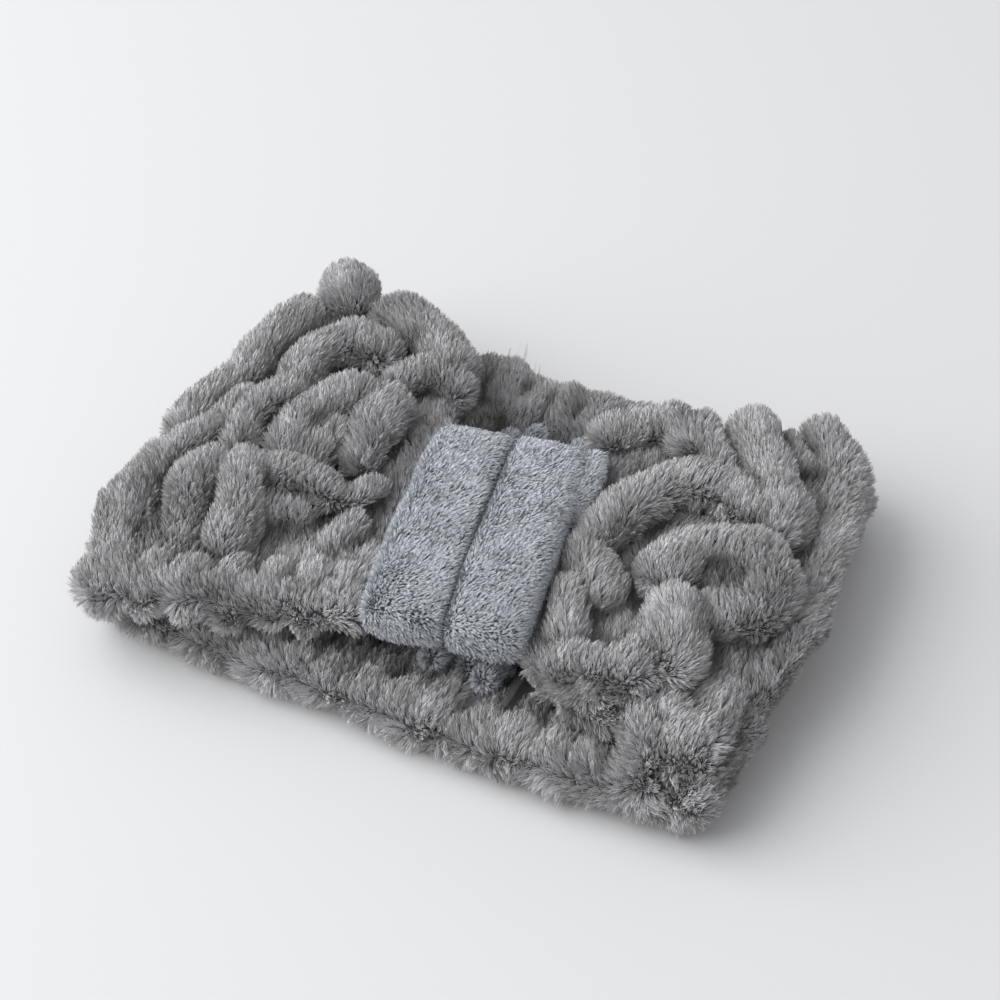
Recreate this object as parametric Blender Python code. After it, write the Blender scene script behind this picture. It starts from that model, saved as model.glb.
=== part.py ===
"""Spa headband: a closed loop of gathered terry cloth, lying flat in two layers, with a plush wrap round its front.

+X runs along the folded band, -Y is the edge nearest the wearer's face, and +Z is up. The origin is at the
middle of the resting footprint, on the surface that the band lies on. All sizes are in metres.

The loop is eight lengths of band round the X-Z plane: rear_centre, rear_left, end_left, front_left,
front_centre, front_right, end_right and rear_right. Each length is a cloth casing of two skins, an outer
panel and a lining, with a narrow space between them for the elastic and the threads. Neighbouring lengths
turn about hinge lines parallel to Y, so that the flat loop opens into a round one.
"""

import math

import bmesh
import bpy
from mathutils import Matrix, Vector

# ---- driving dimensions
LENGTH = 0.236  # along X, fold to fold, at the middle of the band's width
CORNER_PULL = 0.007  # how much shorter each end is at its corners
WIDTH = 0.168  # along Y, edge to edge at the rear and at the folds
HEIGHT = 0.046  # two layers, pile to pile
GAP = 0.0003  # left between neighbouring pieces

MIDDLE_X = 0.005  # the gathered front sits a little off the middle of the band
CENTRE_HALF = 0.037  # from MIDDLE_X to the hinge lines beside the wrap and beside the rear join
WING_RUN = 0.055  # from those hinge lines to the hinge lines at the folds

MOUTH_FRONT = 0.0053  # from mid-height up to the front lining, at the middle
MOUTH_REAR = 0.0070  # from mid-height down to the rear lining, at the middle
MOUTH_END = 0.0004  # the same at the folds, where the two layers lie together
FRONT_CORE_RISE = 0.0207  # from mid-height up to the top of the front inside the wrap

CASING_HALF = 0.0009  # half of the space between a panel and its lining
SKIN_SHARE = 0.5  # the lining's share of a layer's thickness
EDGE_ROUND = 0.011  # how far in from an edge the skins start to round over
EDGE_STEPS = 3

WRAP_WIDTH = 0.055
WRAP_TURN = math.radians(10)  # the wrap sits askew across the band
WRAP_AT = (0.0065, -0.020)
WRAP_HALF = 0.0462  # half of its reach across the band
WRAP_WALL = 0.0030
WRAP_ROUND = 0.008
CHANNEL_DEPTH = 0.0018

COVER_SIZE = (0.050, 0.150, 0.0024)
ELASTIC_SIZE = (0.030, 0.0010)  # width, thickness
THREAD_R = 0.00035
SHIRRING_ROWS = 5

MID_Z = HEIGHT / 2
LEFT, RIGHT = -1, 1
REAR, FRONT = -1, 1
FLAT_HINGE = {side: MIDDLE_X + side * CENTRE_HALF for side in (LEFT, RIGHT)}
END_HINGE = {side: FLAT_HINGE[side] + side * WING_RUN for side in (LEFT, RIGHT)}
SIDE_NAME = {LEFT: "left", RIGHT: "right"}
LAYER_NAME = {REAR: "rear", FRONT: "front"}
RUN_STEPS = 8  # steps along a straight length
FOLD_STEPS = 10  # steps round a fold
FOLD_ACROSS = 6  # steps across a fold's bowed end

PILE_GREY = (0.225, 0.225, 0.235)
WRAP_GREY = (0.30, 0.32, 0.35)
ELASTIC_WHITE = (0.75, 0.74, 0.70)
THREAD_GREY = (0.16, 0.16, 0.17)


def smooth(a, b, x):
    """0 at a, 1 at b, and an easy curve between them."""
    t = min(1.0, max(0.0, (x - a) / (b - a)))
    return t * t * (3 - 2 * t)


def mix(a, b, t):
    return a + (b - a) * t


def material(name, colour, roughness=0.95):
    mat = bpy.data.materials.get(name) or bpy.data.materials.new(name)
    mat.use_nodes = True
    shader = mat.node_tree.nodes["Principled BSDF"]
    shader.inputs["Base Color"].default_value = (*colour, 1.0)
    shader.inputs["Roughness"].default_value = roughness
    shader.inputs["Metallic"].default_value = 0.0
    return mat


def add_object(name, bm, mat, parent):
    """Turn a bmesh into a named object under its body's empty."""
    bmesh.ops.recalc_face_normals(bm, faces=bm.faces)
    mesh = bpy.data.meshes.new(name)
    bm.to_mesh(mesh)
    bm.free()
    mesh.shade_smooth()
    mesh.set_sharp_from_angle(angle=math.radians(40))
    mesh.materials.append(mat)
    obj = bpy.data.objects.new(name, mesh)
    bpy.context.collection.objects.link(obj)
    obj.parent = parent
    obj.matrix_parent_inverse = parent.matrix_world.inverted()
    return obj


def add_rings(bm, rings, looped=False):
    """Skin a list of rings of points; end rings are capped unless the run closes on itself."""
    rows = [[bm.verts.new(p) for p in ring] for ring in rings]
    pairs = list(zip(rows, rows[1:])) + ([(rows[-1], rows[0])] if looped else [])
    for low, high in pairs:
        for i in range(len(low)):
            j = (i + 1) % len(low)
            bm.faces.new((low[i], low[j], high[j], high[i]))
    if not looped:
        bm.faces.new(rows[0][::-1])
        bm.faces.new(rows[-1])


def add_tube(bm, points, radius, looped=False, sides=6):
    """A thread: a small round tube along a path of points."""
    points = [Vector(p) for p in points]
    count = len(points)
    rings = []
    for i, p in enumerate(points):
        before = points[(i - 1) % count] if looped or i else p
        after = points[(i + 1) % count] if looped or i < count - 1 else p
        along = (after - before).normalized()
        side = along.cross(Vector((0, 0, 1)))
        if side.length < 0.1:
            side = along.cross(Vector((0, 1, 0)))
        side.normalize()
        up = side.cross(along)
        turns = [2 * math.pi * k / sides for k in range(sides)]
        rings.append([p + side * radius * math.cos(t) + up * radius * math.sin(t) for t in turns])
    add_rings(bm, rings, looped)


# ---- the band as a surface: a place along the loop, a place across it, and a height above its inner face

def edges_at(layer, x):
    """The near and far edges, in Y, of a layer at x. The front narrows to pass through the wrap."""
    half = WIDTH / 2
    if layer == REAR:
        return -half, half
    lean = math.tan(WRAP_TURN) * max(-CENTRE_HALF, min(CENTRE_HALF, x - WRAP_AT[0]))
    core = WRAP_HALF - WRAP_WALL - 2 * GAP
    away = abs(x - MIDDLE_X)
    open_near = smooth(CENTRE_HALF, CENTRE_HALF + 0.9 * WING_RUN, away)
    open_far = smooth(CENTRE_HALF - 0.002, CENTRE_HALF + 0.7 * WING_RUN, away)
    near = mix(WRAP_AT[1] + lean - core, -half, open_near)
    far = mix(WRAP_AT[1] + lean + core, half, open_far)
    return near, far


def faces_at(layer, x):
    """How far the layer's inner and outer faces are from mid-height at x."""
    away = abs(x - MIDDLE_X)
    run = (away - CENTRE_HALF) / WING_RUN
    mouth = MOUTH_FRONT if layer == FRONT else MOUTH_REAR
    inner = mix(mouth, MOUTH_END, min(1.0, max(0.0, run)))
    outer = MID_Z
    if layer == FRONT:
        outer = mix(FRONT_CORE_RISE, MID_Z, smooth(0.0, 0.4, run))
    return inner, outer


def straight(layer, x):
    """A station on a straight length: its edges, its faces, and a way to place a point there."""
    def place(y, reach):
        return Vector((x, y, MID_Z + layer * reach))
    return edges_at(layer, x), faces_at(layer, x), place


def folded(side, turn):
    """A station on a fold, turn radians round it, from the rear at -90 degrees to the front at +90."""
    start = END_HINGE[side] + side * GAP

    def place(y, reach):
        pull = CORNER_PULL * (y / (WIDTH / 2)) ** 2
        stretch = (LENGTH / 2 - pull - abs(start)) / MID_Z
        x = start + side * math.cos(turn) * reach * stretch
        return Vector((x, y, MID_Z + math.sin(turn) * reach))
    return (-WIDTH / 2, WIDTH / 2), (MOUTH_END, MID_Z), place


def skin_ring(station, outer_skin, across):
    """The section of one skin: flat on its casing side, crowned on its pile side with rounded edges."""
    (near, far), (inner, outer), place = station
    middle = mix(inner, outer, SKIN_SHARE)
    base = middle + (CASING_HALF if outer_skin else -CASING_HALF)
    crown = (outer if outer_skin else inner) - base
    angles = [0.5 * math.pi * k / EDGE_STEPS for k in range(EDGE_STEPS + 1)]
    rise = [(EDGE_ROUND * (1 - math.cos(a)), crown * math.sin(a)) for a in angles]
    between = [mix(near + EDGE_ROUND, far - EDGE_ROUND, k / across) for k in range(1, across)]
    ring = [place(near + inset, base + lift) for inset, lift in rise]
    ring += [place(y, base + crown) for y in between]
    ring += [place(far - inset, base + lift) for inset, lift in reversed(rise)]
    return ring + [place(y, base) for y in reversed(between)]


def add_skins(name, stations, parent, pile, across=1):
    """A length's outer panel and its lining, as two closed solids."""
    for piece, outer_skin in (("panel", True), ("lining", False)):
        bm = bmesh.new()
        add_rings(bm, [skin_ring(s, outer_skin, across) for s in stations])
        add_object(name.format(piece), bm, pile, parent)


def casing_point(station, share):
    """A point in the space between the skins, at a share of the way from the near edge to the far one."""
    (near, far), (inner, outer), place = station
    return place(mix(near, far, share), mix(inner, outer, SKIN_SHARE))


def add_thread(name, points, parent, thread, looped=False):
    bm = bmesh.new()
    add_tube(bm, points, THREAD_R, looped)
    add_object(name, bm, thread, parent)


def add_edge_seams(name, stations, parent, thread):
    """The two threads that close a length along its long edges."""
    for edge, share in (("near", 0.02), ("far", 0.98)):
        add_thread(f"{edge}_seam_{name}", [casing_point(s, share) for s in stations], parent, thread)


def add_shirring(name, stations, parent, thread):
    """Elastic threads that run along a front wing and gather it."""
    for row in range(SHIRRING_ROWS):
        share = mix(0.12, 0.88, row / (SHIRRING_ROWS - 1))
        add_thread(f"{name}_{row + 1}", [casing_point(s, share) for s in stations], parent, thread)


def add_elastic(name, stations, parent, mat):
    """A flat elastic strip between the skins of a rear length."""
    width, thick = ELASTIC_SIZE
    bm = bmesh.new()
    rings = []
    for _, (inner, outer), place in stations:
        middle = mix(inner, outer, SKIN_SHARE)
        corners = ((-1, -1), (1, -1), (1, 1), (-1, 1))
        rings.append([place(a * width / 2, middle + b * thick / 2) for a, b in corners])
    add_rings(bm, rings)
    add_object(name, bm, mat, parent)


def run_of(layer, x0, x1):
    return [straight(layer, mix(x0, x1, i / RUN_STEPS)) for i in range(RUN_STEPS + 1)]


# ---- the wrap, built square to its own axes and then turned

def wrap_section(x, inset, low_z, high_z, half):
    """A rounded rectangle in the wrap's own Y-Z plane, pulled in by inset."""
    half, low, high = half - inset, low_z + inset, high_z - inset
    round_r = max(0.002, WRAP_ROUND - inset)
    points = []
    for sy, sz, start in ((1, 1, 0), (-1, 1, 90), (-1, -1, 180), (1, -1, 270)):
        for k in range(EDGE_STEPS + 1):
            a = math.radians(start + 90 * k / EDGE_STEPS)
            y = sy * (half - round_r) + round_r * math.cos(a)
            z = (high - round_r if sz > 0 else low + round_r) + round_r * math.sin(a)
            points.append(Vector((x, y, z)))
    return points


def add_wrap(parent, plush, thread):
    low = MID_Z + MOUTH_FRONT - GAP - WRAP_WALL
    high = MID_Z + FRONT_CORE_RISE + GAP + WRAP_WALL
    reach = WRAP_WIDTH / 2
    turned = Matrix.Translation((*WRAP_AT, 0)) @ Matrix.Rotation(WRAP_TURN, 4, "Z")

    def section(x, inset):
        return wrap_section(x, inset, low, high, WRAP_HALF)

    # out along the outside, round the lip, and back along the inside: one closed ring of cloth
    outside = [(-reach, 0.0008), (-reach + 0.002, 0), (-0.003, 0), (0, CHANNEL_DEPTH), (0.003, 0),
               (reach - 0.002, 0), (reach, 0.0008)]
    inside = [(reach, WRAP_WALL), (0, WRAP_WALL), (-reach, WRAP_WALL)]
    bm = bmesh.new()
    add_rings(bm, [section(x, inset) for x, inset in outside + inside], looped=True)
    bm.transform(turned)
    add_object("centre_wrap", bm, plush, parent)

    channel = [turned @ p for p in section(0, CHANNEL_DEPTH - THREAD_R - GAP)]
    add_thread("wrap_channel_stitch", channel, parent, thread, looped=True)
    seam_y, seam_z = 0.7 * WRAP_HALF, low - GAP - THREAD_R
    seam = [turned @ Vector((x, seam_y, seam_z)) for x in (-reach + 0.002, reach - 0.002)]
    add_thread("wrap_join_seam", seam, parent, thread)


def add_rear_join(parent, plush, thread):
    """The cover over the rear join, on the inner face, and the join's thread beside the elastic."""
    width, length, thick = COVER_SIZE
    low = MID_Z - MOUTH_REAR + GAP
    bevel = 0.001
    rings = []
    for z, inset in ((low, 0), (low + thick - bevel, 0), (low + thick, bevel)):
        x, y = width / 2 - inset, length / 2 - inset
        rings.append([Vector((MIDDLE_X + a * x, b * y, z)) for a, b in ((-1, -1), (1, -1), (1, 1), (-1, 1))])
    bm = bmesh.new()
    add_rings(bm, rings)
    add_object("rear_join_cover", bm, plush, parent)

    z = casing_point(straight(REAR, MIDDLE_X), 0.5).z
    inner, outer = ELASTIC_SIZE[0] / 2 + 0.002, WIDTH / 2 - EDGE_ROUND
    for edge, side in (("near", -1), ("far", 1)):
        seam = [(MIDDLE_X, side * inner, z), (MIDDLE_X, side * outer, z)]
        add_thread(f"rear_join_seam_{edge}", seam, parent, thread)


def body(name, at=(0, 0, 0)):
    """An empty on the hinge line that a length of band turns about."""
    empty = bpy.data.objects.new(name, None)
    bpy.context.collection.objects.link(empty)
    empty.location = at
    bpy.context.view_layer.update()
    return empty


def build():
    for obj in list(bpy.data.objects):
        bpy.data.objects.remove(obj, do_unlink=True)
    pile = material("pile_grey", PILE_GREY)
    plush = material("wrap_plush", WRAP_GREY)
    elastic = material("elastic", ELASTIC_WHITE, 0.7)
    thread = material("thread", THREAD_GREY, 0.8)
    inner_hinge = 0.005  # from mid-height to the hinge lines beside the wrap and the rear join

    # rear and front middle lengths
    low, high = FLAT_HINGE[LEFT] + GAP, FLAT_HINGE[RIGHT] - GAP
    rear = body("rear_centre_body")
    stations = run_of(REAR, low, high)
    add_skins("rear_{}_centre", stations, rear, pile)
    add_edge_seams("rear_centre", stations, rear, thread)
    add_elastic("rear_elastic_centre", stations, rear, elastic)
    add_rear_join(rear, plush, thread)
    front = body("front_centre_body", (FLAT_HINGE[LEFT], 0, MID_Z + inner_hinge))
    stations = run_of(FRONT, low, high)
    add_skins("front_{}_centre", stations, front, pile)
    add_edge_seams("front_centre", stations, front, thread)
    add_wrap(front, plush, thread)

    for side in (LEFT, RIGHT):
        tail = SIDE_NAME[side]
        x0, x1 = FLAT_HINGE[side] + side * GAP, END_HINGE[side] - side * GAP
        for layer in (REAR, FRONT):
            word = LAYER_NAME[layer]
            wing = body(f"{word}_{tail}_body", (FLAT_HINGE[side], 0, MID_Z + layer * inner_hinge))
            stations = run_of(layer, x0, x1)
            add_skins(word + "_{}_" + tail, stations, wing, pile)
            add_edge_seams(f"{word}_{tail}", stations, wing, thread)
            if layer == REAR:
                add_elastic(f"rear_elastic_{tail}", stations, wing, elastic)
            else:
                add_shirring(f"shirring_thread_{tail}", stations, wing, thread)
        end = body(f"end_{tail}_body", (END_HINGE[side], 0, 0))
        turns = [math.pi * (i / FOLD_STEPS - 0.5) for i in range(FOLD_STEPS + 1)]
        stations = [folded(side, turn) for turn in turns]
        add_skins("end_{}_" + tail, stations, end, pile, FOLD_ACROSS)
        add_edge_seams(f"end_{tail}", stations, end, thread)


build()
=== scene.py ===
"""The looks of the spa headband: gathered loop-pile terry, laid flat, with a plush wrap round its front.

Places are in metres in the frame's own axes: X along the band, -Y nearest the camera, Z up. Lists of
rolls are in millimetres. The band's cloth is one closed form, the union of round rolls, cut
into a piece for each stretch that bends. Its pile is hairpin loops of flat yarn, rooted in the cloth.
"""

import math

import bmesh
import bpy
import numpy as np
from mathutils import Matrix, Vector
from mathutils.bvhtree import BVHTree
from mathutils.kdtree import KDTree


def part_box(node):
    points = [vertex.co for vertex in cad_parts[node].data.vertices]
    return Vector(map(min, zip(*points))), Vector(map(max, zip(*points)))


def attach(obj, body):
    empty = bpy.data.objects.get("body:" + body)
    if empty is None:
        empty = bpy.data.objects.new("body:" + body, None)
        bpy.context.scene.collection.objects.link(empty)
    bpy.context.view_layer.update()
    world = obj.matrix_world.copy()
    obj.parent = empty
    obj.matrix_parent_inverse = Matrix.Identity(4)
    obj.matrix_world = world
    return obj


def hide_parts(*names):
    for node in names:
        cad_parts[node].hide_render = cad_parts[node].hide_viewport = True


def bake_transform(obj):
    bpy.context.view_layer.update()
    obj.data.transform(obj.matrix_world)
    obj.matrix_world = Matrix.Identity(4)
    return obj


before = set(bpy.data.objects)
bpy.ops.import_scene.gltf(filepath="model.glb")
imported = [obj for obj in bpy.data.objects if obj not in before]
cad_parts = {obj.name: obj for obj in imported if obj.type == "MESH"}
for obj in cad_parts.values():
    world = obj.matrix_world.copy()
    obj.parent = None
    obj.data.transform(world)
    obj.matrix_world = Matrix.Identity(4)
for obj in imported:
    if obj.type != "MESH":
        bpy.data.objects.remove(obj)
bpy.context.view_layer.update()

MM = 0.001
SEED = 11

# ---- the frame's places
HINGE_LEFT, HINGE_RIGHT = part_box("front_panel_left")[1][0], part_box("front_panel_right")[0][0]
FOLD_LEFT, FOLD_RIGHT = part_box("end_lining_left")[1][0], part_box("end_lining_right")[0][0]
MIDDLE = 0.5 * (HINGE_LEFT + HINGE_RIGHT)
CUT_LEFT = 0.5 * (HINGE_LEFT + FOLD_LEFT)
CUT_RIGHT = 0.5 * (HINGE_RIGHT + FOLD_RIGHT)
MOUTH_Z = 0.020  # between the rear cloth and the front cloth
REACH = 0.5  # further out than any cloth
PIVOT_Z = 0.018  # height of the rear's hinges
BEND = 0.013  # half the length of cloth that bends round a hinge

# ---- cloth and pile
CLOTH_GRAIN = 0.0014  # the spacing of the cloth mesh
STAND = 0.0030  # how far the pile lifts the outline off the cloth
CLOTH_FLOOR = 0.0012  # the height of the cloth where it lies on the floor, with crushed pile below
PILE, PILE_HALF, YARN = 0.0038, 0.00030, 0.00011  # a loop's length, half its width, half its yarn's width
PLUSH, PLUSH_HALF, PLUSH_YARN = 0.0020, 0.00024, 0.00010  # the same for the wrap's short pile
COMB = np.array([0.0, 0.75, 0.95])  # the pile's lean: up, and away from the near edge
DOWN = np.array([0.0, 0.0, -1.0])
LOOPS_IN_LOCK = 16
# Loops to a square metre of the band's cloth: outside, inside the opened loop, and below.
SEEN, INSIDE, UNSEEN = 3.0e6, 1.1e6, 0.7e6
# The same for the plush: where it shows, along the cover's middle, and below the wrap.
PLUSH_SEEN, PLUSH_INSIDE, PLUSH_UNSEEN = 3.6e6, 2.2e6, 0.3e6
LOOPS_IN_PIECE = 24500  # keeps each piece of pile under 200,000 triangles
FEWEST_LOOPS = 50  # fewer than this on a stretch's cut face are left out
HOLLOW_SHADE_STEP = 0.0006  # painted shade: pile this deep in a hollow is one tint darker, and pile on a crest is painted lighter
EVEN_ROUNDS = 36  # the band's pile stands along normals averaged over so many rounds of neighbours
FLOOR_GAP = 0.0002  # the lowest pile lies this far above the floor

# ---- colours
GREY, PALE = (0.455, 0.452, 0.459), (0.545, 0.57, 0.61)  # the band's pile, and the wrap's plush
GREY_TINTS, PALE_TINTS = (0.5, 0.78, 1.0, 1.18, 1.4), (0.55, 0.8, 1.0, 1.15, 1.3)  # as shares of the colour: random tone, and also painted shade and painted light
PILE_SHEEN = 0.3
CLOTH_SHADE_GREY, BACKING_SHADE_GREY = (0.09, 0.09, 0.093), (0.07, 0.075, 0.085)  # painted shade: the cloth deep under the pile and under the plush, coloured as in the shade between the loops
ELASTIC_WHITE, THREAD_GREY = (0.62, 0.62, 0.63), (0.50, 0.50, 0.51)
FLOOR_WHITE = (0.60, 0.603, 0.606)
SKY_WHITE = (0.98, 0.985, 1.0)

# ---- rolls, in millimetres
CENTRE = 5  # the wrap's middle along X
CREST, CREST_LIFT = 30, 1.4  # points of the front's rolls above the first are raised by the second
BED_STEP, PUCKER_STEP, FOLD_STEP = 5.5, 12.5, 14.5  # spacing of rolls: under the front, in the rear, in a fold
MOUTH_DIP = 3.2  # how far the rear sags below the wrap
ROLL_UNEVEN = 0.12  # how much the band's rolls vary in thickness
COVER_STAND = 1.2  # how far the plush lifts the join cover's outline off its cloth

# The rolls of the gathered front, each (radius, [points along its middle]), with the pile counted in.
LEFT_ROLLS = [
    (12.5, [(-94, 78, 34), (-88, 69, 35)]),  # the knob at the far corner
    (10.0, [(-101, 57, 34), (-104, 36, 34), (-104, 19, 34)]),
    (9.4, [(-106, 11, 34), (-110, -3, 33), (-111, -12, 32)]),
    (7.4, [(-96, 5, 37), (-100, -16, 37), (-106, -26, 35)]),
    (11.8, [(-110, -27, 28), (-111, -43, 27), (-107, -61, 26), (-100, -72, 25)]),  # the end's big roll
    (9.0, [(-87, -56, 30), (-91, -43, 37), (-89, -31, 38)]),  # the left crescent
    (10.2, [(-76, -29, 38), (-72, -41, 39), (-69, -54, 32)]),  # the fan beside it
    (9.2, [(-74, -29, 38), (-60, -25, 39), (-48, -24, 37)]),
    (8.0, [(-66, -38, 34), (-53, -36, 33)]),
    (7.4, [(-86, -19, 38), (-90, -6, 39), (-88, 4, 40), (-81, 13, 39)]),
    (8.8, [(-70, -13, 38), (-71, -3, 39), (-68, 10, 40), (-62, 22, 39)]),
    (9.2, [(-61, -11, 36), (-61, 1, 37)]),
    (9.2, [(-46, -4, 36), (-48, 11, 38), (-48, 23, 38)]),
    (9.4, [(-83, 20, 37), (-85, 34, 39), (-78, 45, 39), (-65, 49, 38)]),
    (10.8, [(-70, 69, 36), (-52, 62, 35), (-41, 52, 34)]),
    (8.0, [(-52, 37, 36), (-44, 45, 36), (-32, 44, 34)]),
    (7.6, [(-40, -22, 35), (-35, -14, 35)]),
    (7.6, [(-36, -42, 32), (-34, -33, 34)]),
    (8.4, [(-101, -77, 27), (-100, -84, 24)]),  # ruffles along the near edge
    (8.6, [(-87, -75, 30), (-85, -82, 27)]),
    (8.6, [(-73, -72, 31), (-71, -80, 28)]),
    (8.6, [(-60, -67, 31), (-57, -76, 28)]),
    (8.2, [(-47, -63, 32), (-44, -73, 29)]),
    (8.2, [(-35, -59, 32), (-32, -69, 29)]),
    (8.0, [(-24, -55, 32), (-21, -64, 30)]),
]
RIGHT_ROLLS = [
    (9.2, [(27, 44, 35), (35, 52, 36), (45, 56, 37), (54, 50, 37)]),  # along the far edge
    (7.8, [(53, 60, 36), (60, 51, 38), (68, 42, 38)]),
    (10.2, [(69, 68, 35), (77, 56, 38), (88, 39, 38), (97, 24, 36)]),
    (7.4, [(82, 69, 33), (89, 60, 34)]),
    (10.2, [(93, 78, 31), (103, 65, 30), (109, 43, 30), (112, 20, 29)]),
    (9.8, [(42, -3, 35), (47, 13, 37), (58, 29, 39), (72, 33, 39), (84, 28, 37)]),
    # the big crescent
    (12.2, [(70, -11, 36), (74, -2, 38), (86, 4, 39), (99, 0, 38), (102, -11, 36), (92, -20, 34)]),
    (10.0, [(84, -8, 33), (94, -8, 33)]),
    (9.2, [(113, 12, 27), (114, -11, 26), (112, -31, 25)]),
    (12.4, [(80, -29, 37), (86, -41, 35)]),  # the near knob
    (11.0, [(79, -30, 34), (77, -47, 33), (68, -56, 32), (57, -58, 31)]),
    (8.8, [(47, -55, 28), (58, -61, 26), (70, -61, 24)]),  # down to the mouth
    (10.4, [(42, -12, 34), (54, -26, 34)]),
    (9.7, [(44, -32, 33), (50, -46, 33)]),
    (8.6, [(83, -63, 26), (90, -69, 22)]),  # ruffles round the near corner
    (8.6, [(91, -57, 28), (99, -67, 20)]),
    (8.6, [(98, -46, 28), (107, -54, 21)]),
    (8.6, [(102, -32, 28), (110, -37, 23)]),
    (8.6, [(96, -70, 16), (99, -73, 11)]),
    (8.6, [(104, -62, 17), (107, -61, 12)]),
]
# Turned edges that run along the puckers' ends: the front's near left, the rear's near, round the near right
# corner, and the rear's far one.
HEMS = [
    (9.0, [(-106, -80, 25), (-88, -80, 27), (-72, -77, 29), (-57, -73, 29.5), (-45, -70, 30.5),
           (-33, -66, 31), (-20, -62, 31)]),
    (8.4, [(-98, -74, 13), (-70, -77, 8.4), (-30, -77.5, 7.6), (10, -78, 7.6), (50, -78, 7.8),
           (84, -76, 8.4), (100, -70, 13)]),
    (8.6, [(89, -72, 15), (99, -73, 12), (107, -62, 14), (111, -46, 19)]),
    (8.2, [(-92, 78, 13), (-50, 80, 10.5), (0, 80.5, 10.5), (50, 80, 10.5), (92, 77, 13)]),
]
# The puckered cover over the rear join: it shows as pale lobes at its ends.
COVER_ROLLS = [
    (4.6, [(-16, -40, 13), (-16, 52, 13)]),
    (4.6, [(-8, -44, 13), (-9, 60, 11)]),
    (4.6, [(0, -50, 13), (1, 52, 13)]),
    (5.2, [(7.5, -57, 15), (8, -40, 13), (8, 0, 13), (9, 60, 11)]),
    (4.6, [(18, -52, 13), (18, 50, 13)]),
    (5.2, [(27, -58.5, 15), (27, -40, 13), (25, 0, 13), (25, 48, 13)]),
]
LIP = (3.4, [(27.5, 27, 40), (30, 18, 41), (31, 7, 40), (30, -2, 37)])  # the wrap's turned side

# ---- noise
LATTICE = 64  # the noise repeats after so many cells
LATTICE_AT = 1000.0  # the cell where the origin lies
NOISE_GAIN = 1.6  # blended values keep closer to zero than the lattice's own


def mix(a, b, t):
    """From a where t is 0 to b where t is 1."""
    return a + (b - a) * t


def smooth(a, b, x):
    """From 0 where x is a to 1 where x is b, with no corners."""
    t = np.clip((x - a) / (b - a), 0.0, 1.0)
    return t * t * (3 - 2 * t)


def noise(points, size, seed):
    """Smooth noise from -1 to 1 in three channels, from random values on a lattice of the given size."""
    rng = np.random.default_rng(seed)
    table = rng.uniform(-1, 1, (LATTICE, LATTICE, LATTICE, 3))
    q = points / size + LATTICE_AT
    cell = np.floor(q).astype(int)
    f = q - cell
    f = f * f * (3 - 2 * f)
    total = np.zeros((len(points), 3))
    for corner in range(8):
        step = np.array([(corner >> k) & 1 for k in range(3)])
        share = np.prod(np.where(step, f, 1 - f), axis=1)
        i, j, k = ((cell + step) % LATTICE).T
        total += table[i, j, k] * share[:, None]
    return total * NOISE_GAIN


def within(values, low, high):
    return (values > low) & (values < high)


def unit(v):
    """Vectors of length 1 along the given ones."""
    return v / np.maximum(np.linalg.norm(v, axis=-1, keepdims=True), 1e-12)


# ---- closed forms

def curve_through(points, step):
    """A smooth curve through the points (Catmull-Rom), sampled about every step."""
    p = np.array(points, float)
    p = np.vstack([2 * p[0] - p[1], p, 2 * p[-1] - p[-2]])
    line = []
    for a, b, c, d in zip(p, p[1:], p[2:], p[3:]):
        count = max(2, int(np.linalg.norm(c - b) / step))
        for t in np.arange(count) / count:
            line.append(0.5 * (2 * b + (c - a) * t + (2 * a - 5 * b + 4 * c - d) * t * t
                               + (3 * b - a - 3 * c + d) * t ** 3))
    return np.array(line + [p[-2]])


def tube_faces(rings, sides, turned=False):
    """Faces of a closed tube whose vertices come ring by ring; turned, they all look the other way."""
    corners = ((0, 0), (0, 1), (1, 1), (1, 0)) if turned else ((0, 1), (0, 0), (1, 0), (1, 1))
    walls = [tuple((ring + up) * sides + (i + on) % sides for up, on in corners)
             for ring in range(rings - 1) for i in range(sides)]
    last = rings * sides - 1
    ends = [tuple(range(sides)), tuple(range(last, last - sides, -1))]
    return walls + [end[::-1] if turned else end for end in ends]


def roll_form(points, radius, uneven, sides=14):
    """Vertices and faces of one closed roll with round ends; uneven is how much its thickness varies."""
    line = curve_through(points, radius * 0.35)
    start, end = unit(line[0] - line[1]), unit(line[-1] - line[-2])
    turns = np.radians([80, 60, 40, 20])
    head = [line[0] + start * radius * math.sin(a) for a in turns]
    tail = [line[-1] + end * radius * math.sin(a) for a in turns[::-1]]
    centres = np.vstack([head, line, tail])
    radii = np.concatenate([radius * np.cos(turns), np.full(len(line), radius),
                            radius * np.cos(turns[::-1])])
    radii = radii * (1 + uneven * noise(centres, 0.016, 33)[:, 0])
    along = unit(np.gradient(centres, axis=0))
    guide = np.where(np.abs(along[:, 2:]) > 0.9, np.array([[0.0, 1.0, 0.0]]), np.array([[0.0, 0.0, 1.0]]))
    side = unit(np.cross(along, guide))
    up = np.cross(side, along)
    a = np.arange(sides) * 2 * math.pi / sides
    ring = np.cos(a)[None, :, None] * side[:, None] + np.sin(a)[None, :, None] * up[:, None]
    verts = (centres[:, None] + radii[:, None, None] * ring).reshape(-1, 3)
    return verts, tube_faces(len(centres), sides)


def shells_of(rolls, stand=0.0, uneven=0.0):
    """A closed shell for each roll (radius, points) in millimetres, thinner by stand to leave room for pile."""
    return [roll_form(np.array(points, float) * MM, (radius - stand) * MM, uneven) for radius, points in rolls]


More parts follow.
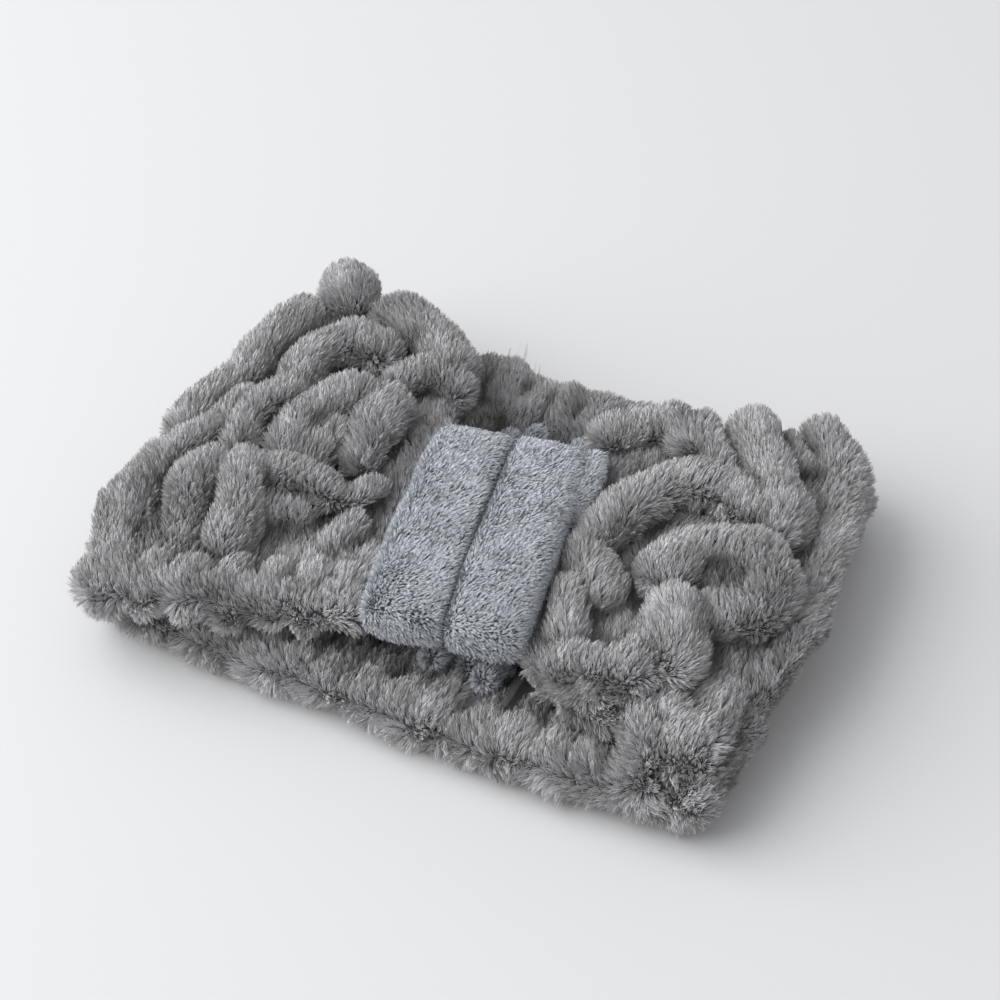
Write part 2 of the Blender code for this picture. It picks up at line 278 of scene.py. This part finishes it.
def union_of(name, shells, grain, relax_steps):
    """One closed, even mesh round all the closed shells, each (vertices, faces)."""
    verts, faces, base = [], [], 0
    for v, f in shells:
        verts.append(v)
        faces += [tuple(i + base for i in face) for face in f]
        base += len(v)
    mesh = bpy.data.meshes.new(name)
    mesh.from_pydata(np.vstack(verts).tolist(), [], faces)
    obj = bpy.data.objects.new(name, mesh)
    bpy.context.collection.objects.link(obj)
    remesh = obj.modifiers.new("union", "REMESH")
    remesh.mode = "VOXEL"
    remesh.voxel_size = grain
    relax = obj.modifiers.new("relax", "SMOOTH")
    relax.factor = 0.5
    relax.iterations = relax_steps
    done = bpy.data.meshes.new_from_object(obj.evaluated_get(bpy.context.evaluated_depsgraph_get()))
    bpy.data.objects.remove(obj)
    return done


def read_all(items, field, kind, width=1):
    """One field of every vertex, edge or face of a mesh, as an array with so many columns."""
    values = np.empty(len(items) * width, kind)
    items.foreach_get(field, values)
    return values if width == 1 else values.reshape(-1, width)


def places_of(mesh):
    return read_all(mesh.vertices, "co", np.float32, 3)


def normals_of(mesh):
    return read_all(mesh.vertex_normals, "vector", np.float32, 3)


def move_to(mesh, places):
    mesh.vertices.foreach_set("co", places.astype(np.float32).ravel())
    mesh.update()


def push(mesh, size, reach, seed):
    """Moves a mesh in and out along its normals by smooth noise."""
    places = places_of(mesh)
    away = noise(places.astype(float), size, seed)[:, :1] * reach
    move_to(mesh, places + normals_of(mesh) * away)


def flatten_below(mesh, height):
    """Lays whatever is lower than the height flat at it."""
    places = places_of(mesh)
    places[:, 2] = np.maximum(places[:, 2], height)
    move_to(mesh, places)


def part_of(mesh, name, planes):
    """The closed part of a mesh on the kept side of each plane, given as (point, direction kept)."""
    bm = bmesh.new()
    bm.from_mesh(mesh)
    for point, kept in planes:
        geometry = bm.verts[:] + bm.edges[:] + bm.faces[:]
        cut = bmesh.ops.bisect_plane(bm, geom=geometry, dist=1e-7, plane_co=point, plane_no=-Vector(kept),
                                     clear_outer=True)
        rim = [e for e in cut["geom_cut"] if isinstance(e, bmesh.types.BMEdge)]
        bmesh.ops.triangle_fill(bm, use_beauty=True, edges=rim, normal=-Vector(kept))
    part = bpy.data.meshes.new(name)
    bm.to_mesh(part)
    bm.free()
    part.shade_smooth()
    return part


# ---- the band's rolls

def front_edges(x):
    """Near and far middles of the front's edge rolls at x, in millimetres."""
    near = np.interp(x, [-105, -60, -25, 5, 45, 80, 105], [-78, -68, -54, -52, -46, -50, -66])
    far = np.interp(x, [-105, -75, -52, -38, -22, 5, 22, 36, 60, 105],
                    [74, 66, 58, 44, 14, 12, 20, 44, 56, 70])
    return float(near), float(far)


def band_rolls():
    """Every roll of the band, each a radius and points in millimetres, with the pile counted in."""
    rng = np.random.default_rng(SEED)
    rolls = [(radius, [(x, y, z + CREST_LIFT) if z > CREST else (x, y, z) for x, y, z in points])
             for radius, points in LEFT_ROLLS + RIGHT_ROLLS]
    x0, x1 = FOLD_LEFT / MM, FOLD_RIGHT / MM
    for x in np.arange(x0 - 8, x1 + 9, BED_STEP):  # the bed of the front, under its rolls
        near, far = front_edges(x)
        away = smooth(30, 92, abs(x - CENTRE))
        middle = (x + rng.uniform(-2, 2), 0.5 * (near + far), mix(28.5, 26, away))
        rolls.append((6.6, [(x, near, mix(31, 27, away)), middle, (x, far, mix(30, 27, away))]))
    for x in np.arange(x0 - 6, x1 + 7, PUCKER_STEP):  # the rear, gathered into puckers across it
        height = 8.8 + smooth(40, 95, abs(x - CENTRE)) * 2
        skew = rng.uniform(-4, 4)
        near, far = -76 + rng.uniform(-1.5, 1.5), 79 + rng.uniform(-1, 3)
        dip = mix(MOUTH_DIP, 0, smooth(40, 80, abs(x - CENTRE)))
        rises = [(near, 0.3), (-64, -0.9 * dip), (-50, -1.3 * dip), (0, -dip), (52, -dip), (68, 0.2),
                 (far, 2.8)]
        radius = 9.3 + rng.uniform(-0.5, 0.5)
        rolls.append((radius, [(x + skew * y / 80 + rng.uniform(-1.2, 1.2), y, height + rise)
                               for y, rise in rises]))
    for x, reach, pull in ((x0 - 8, 16.5, 3), (x1 + 4, 15.5, -4)):  # the core of each fold
        rolls.append((reach, [(x, -64, 20), (x, 0, 21), (x + pull, 62, 20)]))
    rolls += HEMS
    for side, x in ((-1, x0 - 20), (1, x1 + 11)):  # puckers under each fold
        for y in np.arange(-74, 75, FOLD_STEP):
            foot = (x - side * 6, y + rng.uniform(-2, 2), 9)
            rolls.append((8.5, [foot, (x + side * rng.uniform(-1, 1), y, 17)]))
    return rolls


# ---- the wrap

WRAP_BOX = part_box("centre_wrap")
WRAP_AT = 0.5 * (np.array(WRAP_BOX[0]) + np.array(WRAP_BOX[1]))
WRAP_TURN = math.radians(10)
WRAP_HALF = np.array([0.0280, 0.0465, 0.0120])
WRAP_ACROSS = np.array([math.cos(WRAP_TURN), math.sin(WRAP_TURN), 0.0])
WRAP_ALONG = np.array([-math.sin(WRAP_TURN), math.cos(WRAP_TURN), 0.0])
WRAP_SQUARE = 3.6  # how square its section is, where 2 is an ellipse
GROOVE_AT, GROOVE_HALF = 0.02, 0.06  # the sewn channel's middle and half width, as shares of the half width
GROOVE_DEPTH = (0.0020, 0.0030)  # at the wrap's two ends, and in its top
PAD_RISE = (0.0006, 0.0008)  # the swell of the plush beside the channel, in the same places
WRAP_GRAIN, COVER_GRAIN = 0.0010, 0.0012  # the spacing of their cloth meshes


def groove_at(u):
    """How far into the sewn channel, from 0 to 1, at a share u of the wrap's half width."""
    return np.exp(-((u - GROOVE_AT) / GROOVE_HALF) ** 2)


def wrap_groove(spots):
    """The same for spots on the wrap."""
    return groove_at((spots - WRAP_AT) @ WRAP_ACROSS / WRAP_HALF[0])


def wrap_form():
    """The wrap: a soft flat sleeve, closed at its sides round the gathered front, with a sewn channel."""
    across, around = 84, 120
    u = np.sin(np.linspace(-math.pi / 2, math.pi / 2, across))[:, None]
    t = (np.arange(around) * 2 * math.pi / around)[None]
    power = 2 / WRAP_SQUARE
    c = np.sign(np.cos(t)) * np.abs(np.cos(t)) ** power
    s = np.sign(np.sin(t)) * np.abs(np.sin(t)) ** power
    side = np.sqrt(np.clip(1 - np.abs(u) ** 12, 0.0, 1.0))
    groove = groove_at(u)
    pads = 1 - np.minimum(np.abs(np.abs(u) - 0.5) / 0.5, 1) ** 2
    skin = PLUSH * 0.55
    x = u * (WRAP_HALF[0] - skin) * (1 - 0.05 * c ** 2)
    y = c * ((WRAP_HALF[1] - skin) * (0.965 + 0.035 * side) - GROOVE_DEPTH[0] * groove + PAD_RISE[0] * pads)
    z = s * ((WRAP_HALF[2] - skin) * (0.4 + 0.6 * side) - GROOVE_DEPTH[1] * groove + PAD_RISE[1] * pads)
    places = (WRAP_AT + x[..., None] * WRAP_ACROSS + y[..., None] * WRAP_ALONG
              + z[..., None] * np.array([0, 0, 1.0]))
    verts = places.reshape(-1, 3)
    verts = verts + noise(verts, 0.014, 21) * 0.0005
    return verts, tube_faces(across, around, turned=True)


# ---- pile: hairpin loops of yarn

# A loop from foot to foot: sideways, height, and its yarn's share of the full width.
LOOP_SHAPE = np.array([(-0.70, -0.08, 0.9), (-1.0, 0.62, 1.0), (0.05, 1.0, 0.95), (1.0, 0.60, 1.0),
                       (0.70, -0.08, 0.9)])


def evened(values, ends, rounds):
    """Values at vertices, averaged with their neighbours' over and over."""
    count = len(values)
    shared = 1 + np.bincount(ends[0], minlength=count) + np.bincount(ends[1], minlength=count)
    for _ in range(rounds):
        total = np.stack([np.bincount(ends[0], values[ends[1], k], count)
                          + np.bincount(ends[1], values[ends[0], k], count) for k in range(3)], axis=1)
        values = (values + total) / shared[:, None]
    return values


def spots_on(mesh, seed, density, rounds=0):
    """Spots spread over the cloth, the way its pile stands there, and how hollow it is there, in metres.

    density gives how many there are to a square metre at each face's middle and normal. The pile stands along
    the cloth's normals, mixed with those averaged over so many rounds of neighbours.
    """
    co, normals = places_of(mesh), normals_of(mesh)
    ends = read_all(mesh.edges, "vertices", np.int32, 2).T
    even = unit(evened(normals, ends, rounds))
    hollow = ((evened(co, ends, rounds) - co) * normals).sum(1, keepdims=True)
    corners = read_all(mesh.loops, "vertex_index", np.int32)
    starts = read_all(mesh.polygons, "loop_start", np.int32)
    sizes = read_all(mesh.polygons, "loop_total", np.int32)
    quad = corners[starts[:, None] + np.minimum(np.arange(4), sizes[:, None] - 1)]
    centre, facing = co[quad].mean(1), unit(normals[quad].mean(1))
    rng = np.random.default_rng(seed)
    times = density(centre, facing) * read_all(mesh.polygons, "area", np.float32)
    whole = np.floor(times).astype(int) + (rng.uniform(0, 1, len(times)) < times % 1.0)
    quad = np.repeat(quad, whole, axis=0)
    u, v = rng.uniform(0.0, 1.0, (2, len(quad), 1))

    def between(values):
        a, b, c, d = (values[quad[:, i]] for i in range(4))
        return (a * (1 - u) + b * u) * (1 - v) + (d * (1 - u) + c * u) * v

    stands = unit(between(0.3 * normals + 0.7 * even).astype(float))
    return between(co).astype(float), stands, between(hollow)[:, 0]


def to_locks(spots, every, seed):
    """The way from each spot to the middle of its lock of loops."""
    rng = np.random.default_rng(seed)
    middles = spots[rng.random(len(spots)) < 1 / every]
    tree = KDTree(len(middles))
    for i, p in enumerate(middles):
        tree.insert(p, i)
    tree.balance()
    return middles[[tree.find(p)[1] for p in spots]] - spots


def loops_for(spots, normals, length, half, yarn, lean, seed):
    """The two edges of each hairpin loop's flat yarn, at each step along it: loop, step, edge, xyz."""
    rng = np.random.default_rng(seed)
    count = len(spots)
    lean = lean - normals * (lean * normals).sum(1)[:, None]
    guide = unit(np.cross(normals, lean))
    other = np.cross(normals, guide)
    turn = rng.normal(0, 1.0, count)
    across = guide * np.cos(turn)[:, None] + other * np.sin(turn)[:, None]
    tall = (length * rng.uniform(0.8, 1.15, count) / np.sqrt(1 + (lean ** 2).sum(1)))[:, None, None]
    wide = (half * rng.uniform(0.6, 1.3, count))[:, None, None]
    fat = (yarn * rng.uniform(0.85, 1.15, count))[:, None, None]
    sideways, height, share = LOOP_SHAPE.T[:, None, :, None]
    rise = np.maximum(height, 0.0)
    path = (spots[:, None] + normals[:, None] * height * tall + across[:, None] * sideways * wide
            + lean[:, None] * rise ** 1.5 * tall)
    along = unit(np.gradient(path, axis=1))
    face = unit(np.cross(across, unit(normals + lean)))
    side = unit(np.cross(face[:, None], along)) * fat * share
    edges = np.stack([path - side, path + side], axis=2)
    edges[..., 2] = np.maximum(edges[..., 2], FLOOR_GAP)
    return edges


def mesh_of_loops(name, loops, tints):
    """A smooth mesh of loops of flat yarn from their edges, with a tint for each loop."""
    count, steps = loops.shape[:2]
    strip = [(2 * k, 2 * k + 1, 2 * k + 3, 2 * k + 2) for k in range(steps - 1)]
    first_vertex = (np.arange(count) * steps * 2)[:, None, None]
    corners = (np.array(strip)[None] + first_vertex).ravel().astype(np.int32)
    quads = count * len(strip)
    mesh = bpy.data.meshes.new(name)
    mesh.vertices.add(count * steps * 2)
    mesh.vertices.foreach_set("co", loops.astype(np.float32).ravel())
    mesh.loops.add(len(corners))
    mesh.loops.foreach_set("vertex_index", corners)
    mesh.polygons.add(quads)
    mesh.polygons.foreach_set("loop_start", np.arange(quads, dtype=np.int32) * 4)
    mesh.polygons.foreach_set("use_smooth", np.ones(quads, bool))
    mesh.polygons.foreach_set("material_index", np.repeat(tints, len(strip)).astype(np.int32))
    mesh.update(calc_edges=True)
    return mesh


def add_piece(name, mesh, materials):
    """A new object in the scene."""
    obj = bpy.data.objects.new(name, mesh)
    bpy.context.collection.objects.link(obj)
    for mat in materials:
        obj.data.materials.append(mat)
    return obj


# ---- materials

def textile(name, colour, roughness=(0.75, 0.95), sheen=0.0, specular=0.25, fibre=0.0004, relief=0.0001,
            rib=None):
    """A textile finish: fine relief and uneven roughness from noise, with ribs across X of the pitch in rib."""
    mat = bpy.data.materials.new(name)
    mat.use_nodes = True
    nodes, links = mat.node_tree.nodes, mat.node_tree.links
    shader = nodes["Principled BSDF"]
    shader.inputs["Base Color"].default_value = (*colour, 1.0)
    shader.inputs["Sheen Weight"].default_value = sheen
    shader.inputs["Specular IOR Level"].default_value = specular
    place = nodes.new("ShaderNodeTexCoord")
    fibres = nodes.new("ShaderNodeTexNoise")
    fibres.inputs["Scale"].default_value = 1 / fibre
    fibres.inputs["Detail"].default_value = 1.0
    links.new(place.outputs["Object"], fibres.inputs["Vector"])
    height = fibres.outputs["Fac"]
    if rib:
        ribs = nodes.new("ShaderNodeTexWave")
        ribs.inputs["Scale"].default_value = 0.314 / rib  # a wave's own pitch is pi / 10 at a scale of 1
        ribs.inputs["Distortion"].default_value = 0.6
        links.new(place.outputs["Object"], ribs.inputs["Vector"])
        both = nodes.new("ShaderNodeMath")
        both.operation = "ADD"
        links.new(height, both.inputs[0])
        links.new(ribs.outputs["Fac"], both.inputs[1])
        height = both.outputs["Value"]
    bump = nodes.new("ShaderNodeBump")
    bump.inputs["Strength"].default_value = 0.5
    bump.inputs["Distance"].default_value = relief
    links.new(height, bump.inputs["Height"])
    links.new(bump.outputs["Normal"], shader.inputs["Normal"])
    spread = nodes.new("ShaderNodeMapRange")
    spread.inputs["To Min"].default_value, spread.inputs["To Max"].default_value = roughness
    links.new(fibres.outputs["Fac"], spread.inputs["Value"])
    links.new(spread.outputs["Result"], shader.inputs["Roughness"])
    return mat


def tinted(name, colour, tints):
    """One material for each tint of yarn, from dark to light."""
    return [textile(f"{name}_{i + 1}", tuple(min(c * tint, 0.95) for c in colour), (0.75, 0.92), PILE_SHEEN)
            for i, tint in enumerate(tints)]


def tints_for(spots, seed, size=0.006, patchy=0.7, painted_shade=0.0):
    """Which tint the loop at each spot has: random, in patches of the given size, and lowered by so many steps
    as painted shade (raised where negative, as painted light).
    """
    rng = np.random.default_rng(seed)
    level = noise(spots, size, seed)[:, 0] * patchy + rng.normal(0, 0.8, len(spots)) - painted_shade
    middle = len(GREY_TINTS) // 2
    return np.clip(np.round(level + middle), 0, 2 * middle).astype(int)


# ---- the room

def build_room():
    """A plain pale floor under a soft sky, with one broad window high on the left."""
    floor_mat = bpy.data.materials.new("floor")
    floor_mat.use_nodes = True
    shader = floor_mat.node_tree.nodes["Principled BSDF"]
    shader.inputs["Base Color"].default_value = (*FLOOR_WHITE, 1.0)
    shader.inputs["Roughness"].default_value = 0.6
    shader.inputs["Specular IOR Level"].default_value = 0.25
    bpy.ops.mesh.primitive_plane_add(size=6, location=(0, 0, -FLOOR_GAP))
    floor = bpy.context.object
    floor.name = "floor"
    floor.data.materials.append(floor_mat)
    world = bpy.data.worlds.new("studio")
    bpy.context.scene.world = world
    world.use_nodes = True
    nodes, links = world.node_tree.nodes, world.node_tree.links
    nodes["Background"].inputs["Color"].default_value = (*SKY_WHITE, 1.0)
    towards = nodes.new("ShaderNodeTexCoord")
    parts = nodes.new("ShaderNodeSeparateXYZ")
    fall = nodes.new("ShaderNodeMapRange")  # the room is lighter on the window's side
    fall.inputs["From Min"].default_value, fall.inputs["From Max"].default_value = -1.0, 1.0
    fall.inputs["To Min"].default_value, fall.inputs["To Max"].default_value = 1.12, 0.38
    links.new(towards.outputs["Generated"], parts.inputs["Vector"])
    links.new(parts.outputs["X"], fall.inputs["Value"])
    links.new(fall.outputs["Result"], nodes["Background"].inputs["Strength"])
    light = bpy.data.lights.new("window", "AREA")
    light.shape = "SQUARE"
    light.size = 2.3
    light.energy = 47.0
    lamp = bpy.data.objects.new("window", light)
    lamp.location = (-1.25, -0.55, 1.10)
    lamp.rotation_euler = (-lamp.location).to_track_quat("-Z", "Y").to_euler()
    bpy.context.collection.objects.link(lamp)
    bpy.context.scene.view_settings.view_transform = "Standard"


def build_camera():
    """A camera at the photograph's angle: in front, a little to the right, and well above."""
    azimuth, elevation, distance = math.radians(25.4), math.radians(43.5), 0.8733
    aim = Vector((-0.0027, 0.0155, 0.02))
    back = Vector((math.sin(azimuth) * math.cos(elevation), -math.cos(azimuth) * math.cos(elevation),
                   math.sin(elevation)))
    camera = bpy.data.cameras.new("camera")
    camera.lens = 90.9
    camera.sensor_width = 36
    holder = bpy.data.objects.new("camera", camera)
    holder.location = aim + back * distance
    holder.rotation_euler = back.to_track_quat("Z", "Y").to_euler()
    bpy.context.collection.objects.link(holder)
    bpy.context.scene.camera = holder


# ---- the pieces

# Each stretch of the band: its name, whether it is the front, where it runs from and to along X, its two
# bodies, where it bends from and to, and the panels of the frame that it stands for.
STRETCHES = [
    ("rear_centre", False, CUT_LEFT, HINGE_RIGHT, ("rear_centre", "rear_left"),
     (HINGE_LEFT + BEND, HINGE_LEFT - BEND), ["rear_centre"]),
    ("rear_left", False, -REACH, CUT_LEFT, ("rear_left", "end_left"),
     (FOLD_LEFT + BEND, FOLD_LEFT - BEND), ["rear_left"]),
    ("rear_right", False, HINGE_RIGHT, REACH, ("rear_right", "end_right"),
     (FOLD_RIGHT - BEND, FOLD_RIGHT + BEND), ["rear_right"]),
    ("front_left", True, -REACH, CUT_LEFT, ("front_left", "end_left"),
     (FOLD_LEFT + BEND, FOLD_LEFT - BEND), ["front_left", "end_left"]),
    ("front_mid_left", True, CUT_LEFT, MIDDLE, ("front_left", "front_centre"),
     (CUT_LEFT, HINGE_LEFT), ["front_centre"]),
    ("front_mid_right", True, MIDDLE, CUT_RIGHT, ("front_centre", "front_right"),
     (HINGE_RIGHT, CUT_RIGHT), ["front_centre"]),
    ("front_right", True, CUT_RIGHT, REACH, ("front_right", "end_right"),
     (FOLD_RIGHT - BEND, FOLD_RIGHT + BEND), ["front_right", "end_right"]),
]


def band_density(centre, facing):
    """Loops to a square metre of the band's cloth: fewer where they are out of sight at rest."""
    x, y, z = (centre / MM).T
    inside = within(z, 12, 29) & within(y, -46, 60) & within(x, FOLD_LEFT / MM - 8, FOLD_RIGHT / MM + 8)
    under = (z < 7) & (facing[:, 2] < -0.2)
    return np.where(under, UNSEEN, np.where(inside, INSIDE, SEEN))


def cut_density(centre, facing):
    """The same for the flat faces between the rear and the front: only inside the loop, between its folds."""
    flat = np.abs(centre[:, 2] - MOUTH_Z) < 1e-5
    between_folds = np.abs(centre[:, 0] - MIDDLE) < FOLD_RIGHT - MIDDLE + BEND
    return np.where(flat & between_folds, INSIDE, 0.0)


def wrap_density(centre, facing):
    return np.where(facing[:, 2] < -0.5, PLUSH_UNSEEN, PLUSH_SEEN)


def cover_density(centre, facing):
    """Full at the ends that show in the mouth, and none against the rear."""
    plush = np.where(np.abs(centre[:, 1]) > 0.05, PLUSH_SEEN, PLUSH_INSIDE)
    return np.where(facing[:, 2] < -0.2, 0.0, plush)


def clear_of(spots, mesh, gap):
    """Which spots lie outside a closed mesh and further from it than the gap."""
    bm = bmesh.new()
    bm.from_mesh(mesh)
    tree = BVHTree.FromBMesh(bm)
    bm.free()
    corners = [v.co[:] for v in mesh.vertices]
    lo, hi = np.min(corners, 0) - gap, np.max(corners, 0) + gap
    clear = np.ones(len(spots), bool)
    for i in np.nonzero(((spots > lo) & (spots < hi)).all(1))[0]:
        place = Vector(spots[i])
        near, normal, _, distance = tree.find_nearest(place)
        clear[i] = (place - near).dot(normal) > 0 and distance > gap
    return clear


def pile_on(spots, normals, hollow, seed):
    """Loops and tints for the band's pile, combed up and away from the near edge, in curling locks, with
    painted shade and light in the tints.
    """
    down = DOWN - normals * (normals @ DOWN)[:, None]
    away = smooth(0.2, -0.7, (normals @ unit(COMB)))[:, None]
    rng = np.random.default_rng(seed)
    lean = (COMB * (0.85 - 0.6 * away) + down * 0.25
            + noise(spots, 0.016, 6) * 0.4 + noise(spots, 0.005, 7) * 0.9 * away
            + to_locks(spots, LOOPS_IN_LOCK, seed + 3) / PILE * 0.55 + rng.normal(0, 0.10, (len(spots), 3)))
    x, y, z = spots.T
    near_strip = (y < -0.060) & (z < 0.024)
    in_mouth = within(z, 0.010, 0.028) & within(y, -0.069, 0.066)
    share = np.where(near_strip, 1.2, np.where(in_mouth, 0.5, 1.0))
    length = PILE * (1 + 0.12 * noise(spots, 0.01, 9)[:, 0]) * share
    pulled = (y > 0.078) & (z > 0.012) & (np.abs(x + 0.024) < 0.008)  # a few loops are pulled loose here
    length = np.where(pulled & (rng.random(len(spots)) < 0.02), 2.3, 1.0) * length
    half = np.where(near_strip, 1.5, 1.0) * PILE_HALF
    loops = loops_for(spots, normals, length, half, YARN, lean, seed)
    # painted shade: loops deep in hollows and inside the mouth take darker tints, and loops on crests take
    # lighter ones as painted light
    return loops, tints_for(spots, 12, painted_shade=np.clip(hollow / HOLLOW_SHADE_STEP, -0.6, 2.2) + in_mouth)


def add_pile(name, loops, tints, materials, place):
    """Adds loops in pieces of at most LOOPS_IN_PIECE; place puts a piece on its bodies."""
    for part, i in enumerate(range(0, len(loops), LOOPS_IN_PIECE)):
        chosen = slice(i, i + LOOPS_IN_PIECE)
        mesh = mesh_of_loops(name, loops[chosen], tints[chosen])
        piece = add_piece(f"{name}_{part + 1}", mesh, materials)
        place(piece)


def build_band(wrap, cover):
    """The band's cloth and pile, one cloth piece for each stretch."""
    shells = shells_of(band_rolls(), STAND / MM, ROLL_UNEVEN)
    band = union_of("band", shells, CLOTH_GRAIN, 3)
    push(band, 0.011, 0.0011, 61)
    push(band, 0.005, 0.0004, 62)
    flatten_below(band, CLOTH_FLOOR)
    spots, normals, hollow = spots_on(band, 3, band_density, EVEN_ROUNDS)
    keep = clear_of(spots, wrap, 0.0006) & clear_of(spots, cover, 0.0014)
    spots, normals, hollow = spots[keep], normals[keep], hollow[keep]
    loops, tints = pile_on(spots, normals, hollow, 5)
    for name, front, x_from, x_to, bodies, bend, panels in STRETCHES:
        sign = 1 if front else -1
        mesh = part_of(band, f"{name}_cloth", [((0, 0, MOUTH_Z), (0, 0, sign)), ((x_from, 0, 0), (1, 0, 0)),
                                               ((x_to, 0, 0), (-1, 0, 0))])

        def place(piece, bodies=bodies, bend=bend):
            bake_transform(piece)

        cloth = add_piece(f"{name}_cloth", mesh, [shaded_cloth_mat])
        place(cloth)
        for panel in panels:
            level, side = panel.split("_")
            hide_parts(f"{level}_panel_{side}", f"{level}_lining_{side}",
                        f"near_seam_{panel}", f"far_seam_{panel}")
            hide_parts(*[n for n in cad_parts
                                 if level == "front" and n.startswith(f"shirring_thread_{side}")])
        here = ((spots[:, 2] - MOUTH_Z) * sign >= 0) & (spots[:, 0] >= x_from) & (spots[:, 0] < x_to)
        own_loops, own_tints = loops[here], tints[here]
        inner = spots_on(mesh, 15, cut_density)
        if len(inner[0]) > FEWEST_LOOPS:
            inner_loops, inner_tints = pile_on(*inner, 16)
            own_loops = np.concatenate([own_loops, inner_loops])
            own_tints = np.concatenate([own_tints, inner_tints])
        add_pile(f"{name}_pile", own_loops, own_tints, pile_mats, place)


def build_knuckle():
    """The gathered cloth round the rear's right hinge: inside the rear at rest, it shows as the loop opens."""
    inner, outer, half_length = 0.0050, 0.0115, 0.066  # its two radii round the hinge, and half its length
    angles = np.radians(np.linspace(-150, -85, 12))
    arc = np.stack([np.cos(angles), np.zeros(len(angles)), np.sin(angles)], axis=1)
    outline = np.concatenate([arc * outer, arc[::-1] * inner]) + (HINGE_RIGHT, 0, PIVOT_Z)
    rows = np.linspace(-half_length, half_length, 90)
    verts = np.concatenate([outline + (0, y, 0) for y in rows])
    verts = verts + noise(verts, 0.012, 51) * 0.0008
    mesh = bpy.data.meshes.new("hinge_gather_cloth")
    mesh.from_pydata(verts.tolist(), [], tube_faces(len(rows), len(outline)))
    bm = bmesh.new()
    bm.from_mesh(mesh)
    bmesh.ops.recalc_face_normals(bm, faces=bm.faces)
    bm.to_mesh(mesh)
    bm.free()
    mesh.shade_smooth()
    cloth = add_piece("hinge_gather_cloth", mesh, [shaded_cloth_mat])
    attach(cloth, "rear_right")
    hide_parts("rear_panel_right")
    axis = np.array([HINGE_RIGHT, 0, PIVOT_Z])

    def outer_density(centre, facing):
        return np.where(np.linalg.norm((centre - axis)[:, [0, 2]], axis=1) > 0.9 * outer, 0.7 * SEEN, 0.0)

    loops, tints = pile_on(*spots_on(mesh, 17, outer_density), 18)
    add_pile("hinge_gather_pile", loops, tints, pile_mats,
             lambda piece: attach(piece, "rear_right"))


def build_plush(name, mesh, body, nodes, density, lean_to, groove, seed):
    """A plush piece: its backing, and short pile that thins to nothing down in the sewn channel, with painted
    shade there in its tints.
    """
    cloth = add_piece(f"{name}_cloth", mesh, [shaded_backing_mat])
    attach(cloth, body)
    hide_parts(*nodes)
    spots, normals, _ = spots_on(mesh, seed, density)
    rng = np.random.default_rng(seed)
    lean = lean_to + noise(spots, 0.008, seed) * 0.3 + rng.normal(0, 0.22, (len(spots), 3))
    deep = groove(spots)
    loops = loops_for(spots, normals, PLUSH * (1 - 0.6 * deep), PLUSH_HALF, PLUSH_YARN, lean, seed)
    # painted shade: the plush down in the sewn channel takes darker tints
    tints = tints_for(spots, seed, 0.004, 0.3, 2.5 * deep)
    add_pile(f"{name}_pile", loops, tints, plush_mats, lambda piece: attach(piece, body))


pile_mats = tinted("pile", GREY, GREY_TINTS)
plush_mats = tinted("plush", PALE, PALE_TINTS)
# painted shade: the cloth and the plush's backing take the dark colours of the shade under their pile
shaded_cloth_mat = textile("cloth", CLOTH_SHADE_GREY, fibre=0.0012, relief=0.0004)
shaded_backing_mat = textile("shaded_plush_backing", BACKING_SHADE_GREY, fibre=0.0010, relief=0.0003)
elastic_mat = textile("elastic", ELASTIC_WHITE, (0.5, 0.75), 0.1, 0.35, 0.0005, 0.0003, rib=0.0012)
thread_mat = textile("thread", THREAD_GREY, (0.45, 0.7), 0.1, 0.4, 0.0003, 0.0002, rib=0.0006)

wrap = union_of("wrap", [wrap_form()] + shells_of([LIP]), WRAP_GRAIN, 2)
cover = union_of("cover", shells_of(COVER_ROLLS, COVER_STAND), COVER_GRAIN, 2)
build_band(wrap, cover)
build_knuckle()
build_plush("wrap", wrap, "front_centre", ["centre_wrap", "wrap_channel_stitch"], wrap_density,
            WRAP_ACROSS * 1.0 + WRAP_ALONG * 0.35, wrap_groove, 31)
build_plush("join_cover", cover, "rear_centre", ["rear_join_cover"], cover_density,
            np.array([0.3, 0.5, 0.0]), lambda spots: np.zeros(len(spots)), 41)
for name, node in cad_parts.items():
    if not node.hide_render:
        node.data.materials.clear()
        node.data.materials.append(elastic_mat if "elastic" in name else thread_mat)
build_room()
build_camera()
